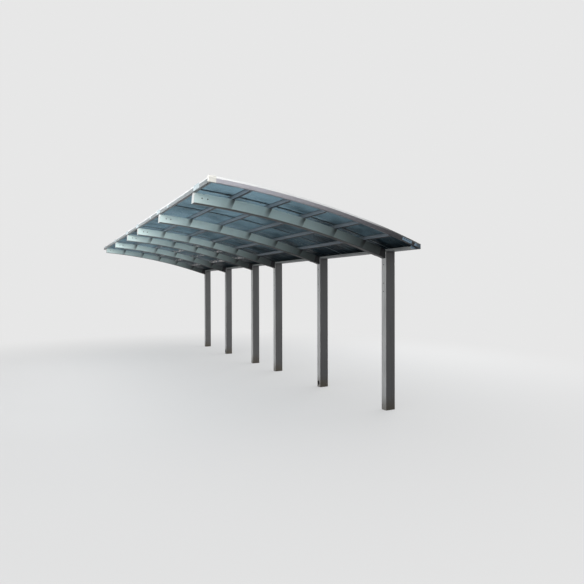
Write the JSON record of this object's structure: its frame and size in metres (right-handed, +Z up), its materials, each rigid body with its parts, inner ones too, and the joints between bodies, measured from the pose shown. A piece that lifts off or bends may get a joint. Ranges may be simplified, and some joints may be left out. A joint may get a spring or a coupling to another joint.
{
  "type": "arched cantilever carport",
  "caption": "Open carport with one row of posts at the back, curved cantilever beams and an arched roof of clear tinted sheets.",
  "frame": {"origin": "centre of the first post's foot, at ground level", "axes": "+Z up; +X from the open front towards the back of the posts; +Y along the row of posts, from the near gable to the far one"},
  "size_m": [3.01, 9.9063, 2.9965],
  "materials": {
    "frame_metal": "powder-coated titanium-grey aluminium sections, satin",
    "bar_metal": "powder-coated aluminium glazing bars, satin",
    "shoe_metal": "dark coated aluminium sleeves, satin",
    "pale_plastic": "moulded cream-white plastic, satin",
    "dark_plastic": "black moulded plastic, matt",
    "blue_grey_plate": "bare aluminium plate with a light blue cast",
    "clear_sheet": "clear solid polycarbonate with a blue-grey tint, 3 mm"
  },
  "bodies": {
    "root": {"beam_1": "frame_metal", "beam_2": "frame_metal", "beam_3": "frame_metal", "beam_4": "frame_metal", "beam_5": "frame_metal", "beam_6": "frame_metal", "beam_end_caps": "pale_plastic", "beam_shoes": "shoe_metal", "drain_outlets": "dark_plastic", "eave_clips": "pale_plastic", "eave_cover_plates": "pale_plastic", "eave_profile_1": "frame_metal", "eave_profile_2": "frame_metal", "front_corner_caps": "pale_plastic", "gable_edge_far": "frame_metal", "gable_edge_near": "frame_metal", "glazing_bars_1": "bar_metal", "glazing_bars_2": "bar_metal", "gutter_end_caps": "frame_metal", "module_joint": "bar_metal", "post_1": "frame_metal", "post_2": "frame_metal", "post_3": "frame_metal", "post_4": "frame_metal", "post_5": "frame_metal", "post_6": "frame_metal", "purlin_1": "frame_metal", "purlin_2": "frame_metal", "purlin_3": "frame_metal", "purlin_4": "frame_metal", "purlin_5": "frame_metal", "rear_corner_plates": "blue_grey_plate", "rear_gutter_1": "frame_metal", "rear_gutter_2": "frame_metal", "roof_sheet_1": "clear_sheet", "roof_sheet_10": "clear_sheet", "roof_sheet_2": "clear_sheet", "roof_sheet_3": "clear_sheet", "roof_sheet_4": "clear_sheet", "roof_sheet_5": "clear_sheet", "roof_sheet_6": "clear_sheet", "roof_sheet_7": "clear_sheet", "roof_sheet_8": "clear_sheet", "roof_sheet_9": "clear_sheet"}
  },
  "joints": []
}
